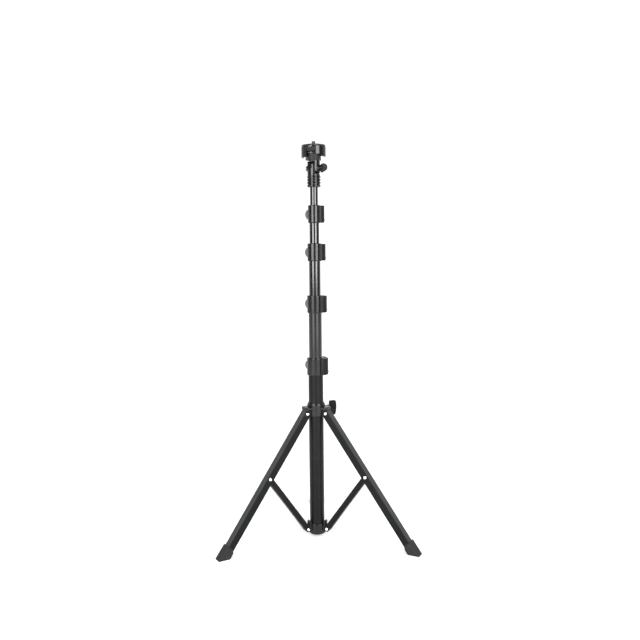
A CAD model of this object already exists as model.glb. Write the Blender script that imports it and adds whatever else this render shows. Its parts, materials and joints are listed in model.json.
import json
from math import cos, pi, radians, sin

import bmesh
import bpy
from mathutils import Matrix, Vector


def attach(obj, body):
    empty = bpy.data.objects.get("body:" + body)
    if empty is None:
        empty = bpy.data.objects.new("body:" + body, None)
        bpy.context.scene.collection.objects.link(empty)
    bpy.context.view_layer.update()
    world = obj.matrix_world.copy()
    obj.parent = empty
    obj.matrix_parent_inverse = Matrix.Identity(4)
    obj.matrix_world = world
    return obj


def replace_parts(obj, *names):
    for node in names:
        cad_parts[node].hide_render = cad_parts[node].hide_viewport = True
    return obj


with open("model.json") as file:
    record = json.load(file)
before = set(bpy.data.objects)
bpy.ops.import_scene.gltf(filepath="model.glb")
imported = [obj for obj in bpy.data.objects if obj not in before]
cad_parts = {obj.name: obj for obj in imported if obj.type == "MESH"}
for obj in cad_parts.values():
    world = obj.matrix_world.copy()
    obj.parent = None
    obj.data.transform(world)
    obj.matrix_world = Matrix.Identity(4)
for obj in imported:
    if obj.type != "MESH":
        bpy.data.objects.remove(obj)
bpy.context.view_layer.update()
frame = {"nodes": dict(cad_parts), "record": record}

MM = 0.001
NODES = frame["nodes"]
LEG_SIDES = {"left": radians(210), "right": radians(330), "rear": radians(90)}

# ---------------------------------------------------------------- materials


class Finish:
    """A procedural material: a Principled shader with helpers for the nodes that feed it."""

    def __init__(self, name, metallic=0.0, specular=0.5):
        self.material = bpy.data.materials.new(name)
        self.material.use_nodes = True
        self.tree = self.material.node_tree
        self.shader = self.tree.nodes["Principled BSDF"]
        self.shader.inputs["Metallic"].default_value = metallic
        self.shader.inputs["Specular IOR Level"].default_value = specular
        self.place = self.add("ShaderNodeTexCoord").outputs["Object"]

    def add(self, kind, **settings):
        node = self.tree.nodes.new(kind)
        for key, value in settings.items():
            setattr(node, key, value)
        return node

    def join(self, output, socket):
        self.tree.links.new(output, socket)

    def stretched(self, scale):
        """Object coordinates scaled on each axis, in cycles a metre."""
        node = self.add("ShaderNodeMapping")
        node.inputs["Scale"].default_value = scale
        self.join(self.place, node.inputs["Vector"])
        return node.outputs["Vector"]

    def noise(self, scale, detail=3.0, rough=0.5, vector=None):
        node = self.add("ShaderNodeTexNoise")
        node.inputs["Scale"].default_value = scale
        node.inputs["Detail"].default_value = detail
        node.inputs["Roughness"].default_value = rough
        self.join(vector or self.place, node.inputs["Vector"])
        return node.outputs["Fac"]

    def ranged(self, value, low, high, start=0.3, end=0.7):
        """Maps a value between start and end to between low and high."""
        node = self.add("ShaderNodeMapRange")
        node.inputs["From Min"].default_value = start
        node.inputs["From Max"].default_value = end
        node.inputs["To Min"].default_value = low
        node.inputs["To Max"].default_value = high
        self.join(value, node.inputs["Value"])
        return node.outputs["Result"]

    def math(self, kind, first, second):
        node = self.add("ShaderNodeMath", operation=kind)
        for socket, value in zip(node.inputs, (first, second)):
            if isinstance(value, (int, float)):
                socket.default_value = value
            else:
                self.join(value, socket)
        return node.outputs["Value"]

    def mixed(self, factor, first, second):
        """Mixes two colours, each a tuple or a node's output."""
        node = self.add("ShaderNodeMix", data_type="RGBA")
        self.join(factor, node.inputs["Factor"])
        for socket, value in ((node.inputs[6], first), (node.inputs[7], second)):
            if isinstance(value, tuple):
                socket.default_value = (*value, 1.0)
            else:
                self.join(value, socket)
        return node.outputs[2]

    def edges(self, radius, low=0.02, high=0.18):
        """1 on convex and concave edges of the mesh, 0 on its faces, and the rounded normal."""
        rounded = self.add("ShaderNodeBevel", samples=4)
        rounded.inputs["Radius"].default_value = radius
        flat = self.add("ShaderNodeNewGeometry")
        dot = self.add("ShaderNodeVectorMath", operation="DOT_PRODUCT")
        self.join(rounded.outputs["Normal"], dot.inputs[0])
        self.join(flat.outputs["Normal"], dot.inputs[1])
        bent = self.math("SUBTRACT", 1.0, dot.outputs["Value"])
        return self.ranged(bent, 0.0, 1.0, low, high), rounded.outputs["Normal"]

    def upward(self):
        """1 on faces that look up, 0 on upright ones."""
        axes = self.add("ShaderNodeSeparateXYZ")
        self.join(self.add("ShaderNodeTexCoord").outputs["Normal"], axes.inputs["Vector"])
        return self.ranged(axes.outputs["Z"], 0.0, 1.0, 0.1, 0.7)

    def bump(self, height, distance, strength=1.0, normal=None):
        node = self.add("ShaderNodeBump")
        node.inputs["Distance"].default_value = distance
        node.inputs["Strength"].default_value = strength
        self.join(height, node.inputs["Height"])
        if normal is not None:
            self.join(normal, node.inputs["Normal"])
        return node.outputs["Normal"]

    def set(self, colour=None, roughness=None, normal=None):
        for name, output in (("Base Color", colour), ("Roughness", roughness), ("Normal", normal)):
            if output is not None:
                self.join(output, self.shader.inputs[name])
        return self.material


def tube_finish(name, base, worn, rough_low, rough_high, specular):
    """Drawn, painted tube: fine lengthwise drawing lines, faint orange peel, handling marks."""
    make = Finish(name, specular=specular)
    lines = make.noise(1.0, 4.0, 0.6, make.stretched((2600, 2600, 22)))
    rings = make.noise(1.0, 3.0, 0.5, make.stretched((60, 60, 900)))
    marks = make.noise(34.0, 5.0, 0.6)
    peel = make.noise(900.0, 2.0)
    edge, rounded = make.edges(0.35 * MM)
    scuff = make.math("MULTIPLY", make.ranged(marks, 0.0, 1.0, 0.52, 0.75), make.ranged(rings, 0.0, 1.0))
    colour = make.mixed(make.math("MULTIPLY", scuff, 0.5), base, worn)
    colour = make.mixed(make.math("MULTIPLY", edge, 0.5), colour, worn)
    dull = make.math("MULTIPLY", scuff, 0.08)
    roughness = make.math("ADD", make.ranged(lines, rough_low, rough_high), dull)
    normal = make.bump(peel, 0.004 * MM, 0.4, rounded)
    normal = make.bump(lines, 0.002 * MM, 0.4, normal)
    return make.set(colour, roughness, normal)


def coated_sheet_finish(name, base, worn):
    """Powder-coated pressed steel: fine texture, softly worn folds, and paler where its web faces up."""
    make = Finish(name, specular=0.08)
    grain = make.noise(2600.0, 2.0, 0.6)
    swell = make.noise(300.0, 2.0)
    cloud = make.noise(26.0, 4.0, 0.55)
    edge, rounded = make.edges(0.5 * MM, 0.01, 0.12)
    worn_edge = make.math("MULTIPLY", edge, make.ranged(make.noise(160.0, 4.0), 0.15, 0.8, 0.4, 0.65))
    colour = make.mixed(make.ranged(cloud, 0.0, 0.6), base, tuple(1.5 * part for part in base))
    colour = make.mixed(make.math("MULTIPLY", make.upward(), make.ranged(cloud, 0.75, 1.0)), colour, worn)
    colour = make.mixed(worn_edge, colour, worn)
    roughness = make.math("ADD", make.ranged(grain, 0.32, 0.44), make.ranged(cloud, -0.04, 0.05))
    normal = make.bump(swell, 0.03 * MM, 0.35, rounded)
    normal = make.bump(grain, 0.02 * MM, 0.5, normal)
    return make.set(colour, roughness, normal)


def plastic_finish(name, base, light, rough_low, rough_high, specular=0.25, grain_mm=0.28, depth_mm=0.02):
    """Moulded plastic with a spark-eroded grain and polished, slightly paler edges."""
    make = Finish(name, specular=specular)
    grain = make.noise(1.0 / (grain_mm * MM), 3.0, 0.6)
    flow = make.noise(55.0, 3.0, 0.5)
    edge, rounded = make.edges(0.5 * MM)
    colour = make.mixed(make.ranged(flow, 0.0, 0.7), base, light)
    colour = make.mixed(make.math("MULTIPLY", edge, 0.35), colour, tuple(1.8 * part for part in light))
    polish = make.math("MULTIPLY", edge, -0.10)
    roughness = make.math("ADD", make.ranged(grain, rough_low, rough_high), polish)
    normal = make.bump(grain, depth_mm * MM, 0.6, rounded)
    return make.set(colour, roughness, normal)


def rubber_finish(name, base, light):
    """Soft moulded rubber: dull, faintly mottled, with dusty patches."""
    make = Finish(name, specular=0.2)
    grain = make.noise(2200.0, 4.0, 0.7)
    dust = make.noise(70.0, 5.0, 0.65)
    edge, rounded = make.edges(0.4 * MM)
    colour = make.mixed(make.ranged(dust, 0.0, 0.8, 0.45, 0.7), base, light)
    colour = make.mixed(make.math("MULTIPLY", edge, 0.3), colour, light)
    normal = make.bump(grain, 0.04 * MM, 0.7, rounded)
    return make.set(colour, make.ranged(dust, 0.62, 0.82), normal)


def steel_finish(name, base, dark, rough_low, rough_high):
    """Plated steel: patches of finer and coarser polish, and of tarnish."""
    make = Finish(name, metallic=1.0)
    polish = make.noise(1900.0, 3.0, 0.6)
    stain = make.noise(260.0, 4.0)
    rounded = make.edges(0.15 * MM)[1]
    colour = make.mixed(make.ranged(stain, 0.0, 0.7, 0.5, 0.75), base, dark)
    roughness = make.ranged(polish, rough_low, rough_high)
    normal = make.bump(polish, 0.008 * MM, 0.5, rounded)
    return make.set(colour, roughness, normal)


# Each pair is a colour and its paler or worn form.
TUBE_PAINT = ((0.003, 0.003, 0.0035), (0.012, 0.012, 0.013))
PLASTIC = ((0.0025, 0.0025, 0.0028), (0.005, 0.005, 0.0055))
LEVER_PLASTIC = ((0.004, 0.004, 0.0043), (0.007, 0.007, 0.0073))

FINISHES = {
    "tube_black": tube_finish("tube_black", *TUBE_PAINT, 0.10, 0.16, 0.45),
    "tube_satin": tube_finish("tube_satin", *TUBE_PAINT, 0.24, 0.32, 0.12),
    "leg_paint": coated_sheet_finish("leg_paint", (0.0035, 0.0037, 0.004), (0.03, 0.0305, 0.032)),
    "black_plastic": plastic_finish("black_plastic", *PLASTIC, 0.16, 0.26),
    "knob_plastic": plastic_finish("knob_plastic", *PLASTIC, 0.3, 0.4, 0.09),
    "lever_plastic": plastic_finish("lever_plastic", *LEVER_PLASTIC, 0.32, 0.42, 0.09),
    "nut_plastic": plastic_finish("nut_plastic", (0.055, 0.055, 0.058), (0.085, 0.085, 0.088), 0.32, 0.44),
    "bush_plastic": plastic_finish("bush_plastic", (0.03, 0.03, 0.03), (0.04, 0.04, 0.04), 0.3, 0.4),
    "rivet_steel": steel_finish("rivet_steel", (0.82, 0.82, 0.81), (0.45, 0.44, 0.42), 0.18, 0.34),
    "dark_steel": steel_finish("dark_steel", (0.12, 0.12, 0.125), (0.05, 0.05, 0.05), 0.28, 0.42),
    "foot_rubber": rubber_finish("foot_rubber", (0.007, 0.007, 0.007), (0.018, 0.0175, 0.017)),
    "pad_rubber": rubber_finish("pad_rubber", (0.014, 0.014, 0.014), (0.04, 0.04, 0.04)),
}


def dress(piece, slot):
    """Gives a piece its finish."""
    piece.data.materials.clear()
    piece.data.materials.append(FINISHES[slot])


for row in frame["record"]["subparts"]:
    dress(NODES[row["node"]], row["material_slot"])
for knob in ("hub_knob", "tilt_knob"):
    dress(NODES[knob], "knob_plastic")

# ---------------------------------------------------------------- mesh helpers


def new_piece(name, mesh_data, slot, body):
    """Links a finished bmesh as a piece that rides on a body."""
    data = bpy.data.meshes.new(name)
    bmesh.ops.recalc_face_normals(mesh_data, faces=mesh_data.faces)
    mesh_data.to_mesh(data)
    mesh_data.free()
    piece = bpy.data.objects.new(name, data)
    bpy.context.scene.collection.objects.link(piece)
    for face in data.polygons:
        face.use_smooth = True
    dress(piece, slot)
    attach(piece, body)
    return piece


def grid_faces(mesh_data, rows):
    """Joins rings of vertices into quads."""
    for low, high in zip(rows, rows[1:]):
        for step in range(len(low)):
            after = (step + 1) % len(low)
            mesh_data.faces.new((low[step], low[after], high[after], high[step]))


def lathe(profile, segments=48, wobble=None):
    """A turned solid about Z from (radius, height) pairs; wobble may change a radius by height and angle."""
    made = bmesh.new()
    rows = []
    for radius, height in profile:
        row = []
        for step in range(segments):
            angle = 2 * pi * step / segments
            reach = wobble(radius, height, angle) if wobble else radius
            row.append(made.verts.new((reach * cos(angle), reach * sin(angle), height)))
        rows.append(row)
    grid_faces(made, rows)
    made.faces.new(rows[0])
    made.faces.new(rows[-1])
    return made


def gathered(parts):
    """Joins several bmeshes into one."""
    whole = bmesh.new()
    for part in parts:
        spare = bpy.data.meshes.new("spare")
        part.to_mesh(spare)
        part.free()
        whole.from_mesh(spare)
        bpy.data.meshes.remove(spare)
    return whole


# ---------------------------------------------------------------- camera screw

PAD_TOP = 663.1 * MM
SCREW_CREST = 3.175 * MM
SCREW_ROOT = 2.5 * MM
SCREW_PITCH = 1.27 * MM
SCREW_LOW = PAD_TOP + 0.6 * MM
SCREW_TOP = PAD_TOP + 6.3 * MM
SCREW_STEP = 0.095 * MM
SHANK_R = 2.8 * MM
SHANK_LOW = 648.2 * MM


def thread(radius, height, angle):
    """Radius of a thread with flat crests, run out at both ends; the shank below it is left plain."""
    if height < SCREW_LOW:
        return radius
    turn = (height / SCREW_PITCH - angle / (2 * pi)) % 1.0
    flank = min(1.0, max(0.0, 1.35 - 3.1 * abs(turn - 0.5)))
    end = min(height - SCREW_LOW, SCREW_TOP - height)
    crest = min(SCREW_CREST, SCREW_ROOT + 0.15 * MM + 0.9 * end)
    return min(SCREW_ROOT + (SCREW_CREST - SCREW_ROOT) * flank, crest)


def camera_screw():
    profile = [(SHANK_R, SHANK_LOW), (SHANK_R, SCREW_LOW - SCREW_STEP)]
    steps = round((SCREW_TOP - SCREW_LOW) / SCREW_STEP)
    profile += [(SCREW_ROOT, SCREW_LOW + SCREW_STEP * step) for step in range(steps + 1)]
    piece = new_piece("camera_screw_thread", lathe(profile, 56, thread), "dark_steel", "thumb_wheel")
    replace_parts(piece, "camera_stud")


# ---------------------------------------------------------------- rivets

PIVOT_R = 20.7 * MM
LINK = 123.4 * MM
LEG_ANGLE = radians(36)
LOW_Z = 17.2 * MM
HUB_Z = LOW_Z + 2 * LINK * cos(LEG_ANGLE)
# Each ring of rivets: its node, its body, its height and half its grip.
RIVET_RINGS = (("hub_rivets", "hub", HUB_Z, 6.75 * MM), ("lower_rivets", "base", LOW_Z, 5.55 * MM))
LEG_RIVET_HALF = 6.7 * MM
SHANK = 2.0
# A rivet head from its dimple out to its rim: radius and height over the sheet, in mm.
RIVET_HEAD = [(0.5, 0.5), (0.85, 0.62), (1.0, 1.0), (1.2, 1.18), (1.6, 1.14), (2.05, 0.96), (2.4, 0.66),
              (2.62, 0.3), (2.7, 0.04), (SHANK, 0.0)]


def rivet(azimuth, reach, height, half):
    """A clinched rivet whose axis runs round the column, at a distance out from it."""
    head = [(radius * MM, half + out * MM) for radius, out in RIVET_HEAD]
    profile = [(radius, -level) for radius, level in head] + head[::-1]
    made = lathe(profile, 32)
    turn = Matrix.Rotation(azimuth, 4, "Z") @ Matrix.Translation((reach, 0, height))
    bmesh.ops.transform(made, matrix=turn @ Matrix.Rotation(-pi / 2, 4, "X"), verts=made.verts)
    return made


def rivets():
    """Zinc rivets in place of the plain ones: three each on the hub and the lower collar, one on each leg."""
    for node, body, height, half in RIVET_RINGS:
        made = gathered([rivet(azimuth, PIVOT_R, height, half) for azimuth in LEG_SIDES.values()])
        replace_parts(new_piece(node + "_clinched", made, "rivet_steel", body), node)
    reach = PIVOT_R + LINK * sin(LEG_ANGLE)
    height = LOW_Z + LINK * cos(LEG_ANGLE)
    for side, azimuth in LEG_SIDES.items():
        node = side + "_leg_rivet"
        made = rivet(azimuth, reach, height, LEG_RIVET_HALF)
        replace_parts(new_piece(node + "_clinched", made, "rivet_steel", side + "_leg"), node)


# ---------------------------------------------------------------- platform pad

PAD_RIB_RADII = (6.0, 7.7, 9.4, 11.1, 12.8, 14.5, 16.2)
PAD_RIB_HALF = 0.45
PAD_RIB_RISE = 0.35


def pad_rib(radius):
    """One raised grip ring on the pad, half round in section."""
    made = bmesh.new()
    rows = []
    for step in range(7):
        slope = pi * step / 6
        reach = (radius - PAD_RIB_HALF * cos(slope)) * MM
        level = PAD_TOP + (PAD_RIB_RISE * sin(slope) - 0.02) * MM
        angles = [2 * pi * part / 72 for part in range(72)]
        rows.append([made.verts.new((reach * cos(angle), reach * sin(angle), level)) for angle in angles])
    grid_faces(made, rows + rows[:1])
    return made


def pad_ribs():
    made = gathered([pad_rib(radius) for radius in PAD_RIB_RADII])
    new_piece("platform_pad_ribs", made, "pad_rubber", "tilt_head")


camera_screw()
rivets()
pad_ribs()

# ---------------------------------------------------------------- camera, light, floor

# The viewpoint, about the column's axis: metres and degrees.
VIEW_DISTANCE = 1.2358
VIEW_HEIGHT = 0.4813
VIEW_SIDE = 0.00804
VIEW_TURN = radians(-2.1)
VIEW_PITCH = radians(4.97)
VIEW_ROLL = radians(0.55)
LENS = 41.5

SWEEP_RADIANCE = 1.15
ROOM_RADIANCE = 0.05
FLOOR_GLOW = 0.6
FLOOR_RADIUS = 7.0
BOX_DISTANCE = 2.0
BOX_WIDTH = 1.2
BOX_SIDES = {"left": -35, "right": 35}
# Each soft box of a side: its name, its lower and upper height, and its radiance.
BOXES = (("soft_", 0.38, 1.9, 18.0), ("low_", 0.08, 0.38, 3.6))


def make_camera():
    data = bpy.data.cameras.new("view")
    data.lens = LENS
    data.clip_end = 50
    camera = bpy.data.objects.new("view", data)
    turn = Matrix.Rotation(VIEW_TURN, 4, "Z")
    camera.location = turn @ Vector((VIEW_SIDE, -VIEW_DISTANCE, VIEW_HEIGHT))
    look = Matrix.Rotation(pi / 2 - VIEW_PITCH, 4, "X")
    roll = Matrix.Rotation(-VIEW_ROLL, 4, "Z")
    camera.rotation_euler = (turn @ look @ roll).to_euler()
    bpy.context.scene.collection.objects.link(camera)
    bpy.context.scene.camera = camera


def soft_box(name, azimuth, distance, low, high, width, radiance):
    """A tall soft box that faces the column, from one height to another. Azimuth 0 is at the viewer."""
    data = bpy.data.lights.new(name, "AREA")
    data.shape = "RECTANGLE"
    data.size, data.size_y = width, high - low
    data.energy = radiance * pi * width * (high - low)
    light = bpy.data.objects.new(name, data)
    angle = radians(azimuth)
    light.location = (distance * sin(angle), -distance * cos(angle), (low + high) / 2)
    light.rotation_euler = Vector((-sin(angle), cos(angle), 0)).to_track_quat("-Z", "Y").to_euler()
    light.visible_camera = False
    bpy.context.scene.collection.objects.link(light)


def make_surround():
    """A white studio sweep, with a dim room at the viewer's side as far as light and reflections go."""
    world = bpy.data.worlds.new("studio")
    world.use_nodes = True
    bpy.context.scene.world = world
    tree = world.node_tree
    back = tree.nodes["Background"]
    place = tree.nodes.new("ShaderNodeTexCoord")
    axes = tree.nodes.new("ShaderNodeSeparateXYZ")
    ramp = tree.nodes.new("ShaderNodeMapRange")
    ramp.interpolation_type = "SMOOTHSTEP"
    ramp.inputs["From Min"].default_value = -0.12
    ramp.inputs["From Max"].default_value = 0.12
    ramp.inputs["To Min"].default_value = ROOM_RADIANCE
    ramp.inputs["To Max"].default_value = SWEEP_RADIANCE
    seen = tree.nodes.new("ShaderNodeLightPath")
    shown = tree.nodes.new("ShaderNodeMix")
    shown.inputs["B"].default_value = SWEEP_RADIANCE
    tree.links.new(place.outputs["Generated"], axes.inputs["Vector"])
    tree.links.new(axes.outputs["Y"], ramp.inputs["Value"])
    tree.links.new(seen.outputs["Is Camera Ray"], shown.inputs["Factor"])
    tree.links.new(ramp.outputs["Result"], shown.inputs["A"])
    tree.links.new(shown.outputs["Result"], back.inputs["Strength"])
    back.inputs["Color"].default_value = (1.0, 1.0, 1.0, 1.0)


def make_floor():
    """A pale, faintly lit table that runs out into the sweep."""
    made = bmesh.new()
    bmesh.ops.create_circle(made, cap_ends=True, radius=FLOOR_RADIUS, segments=96)
    data = bpy.data.meshes.new("floor")
    made.to_mesh(data)
    made.free()
    floor = bpy.data.objects.new("floor", data)
    floor.location.z = -0.0002
    bpy.context.scene.collection.objects.link(floor)
    make = Finish("floor_acrylic", specular=0.3)
    make.shader.inputs["Base Color"].default_value = (0.85, 0.85, 0.85, 1.0)
    make.shader.inputs["Emission Color"].default_value = (1.0, 1.0, 1.0, 1.0)
    far = make.add("ShaderNodeVectorMath", operation="LENGTH")
    make.join(make.place, far.inputs[0])
    glow = make.ranged(far.outputs["Value"], 0.0, FLOOR_GLOW, 0.5, 2.0)
    make.join(glow, make.shader.inputs["Emission Strength"])
    grain = make.noise(900.0, 2.0)
    data.materials.append(make.set(None, make.ranged(grain, 0.55, 0.65), make.bump(grain, 0.01 * MM, 0.3)))


bpy.context.scene.view_settings.view_transform = "Standard"
make_camera()
make_surround()
make_floor()
for side, azimuth in BOX_SIDES.items():
    for name, low, high, radiance in BOXES:
        soft_box(name + side, azimuth, BOX_DISTANCE, low, high, BOX_WIDTH, radiance)
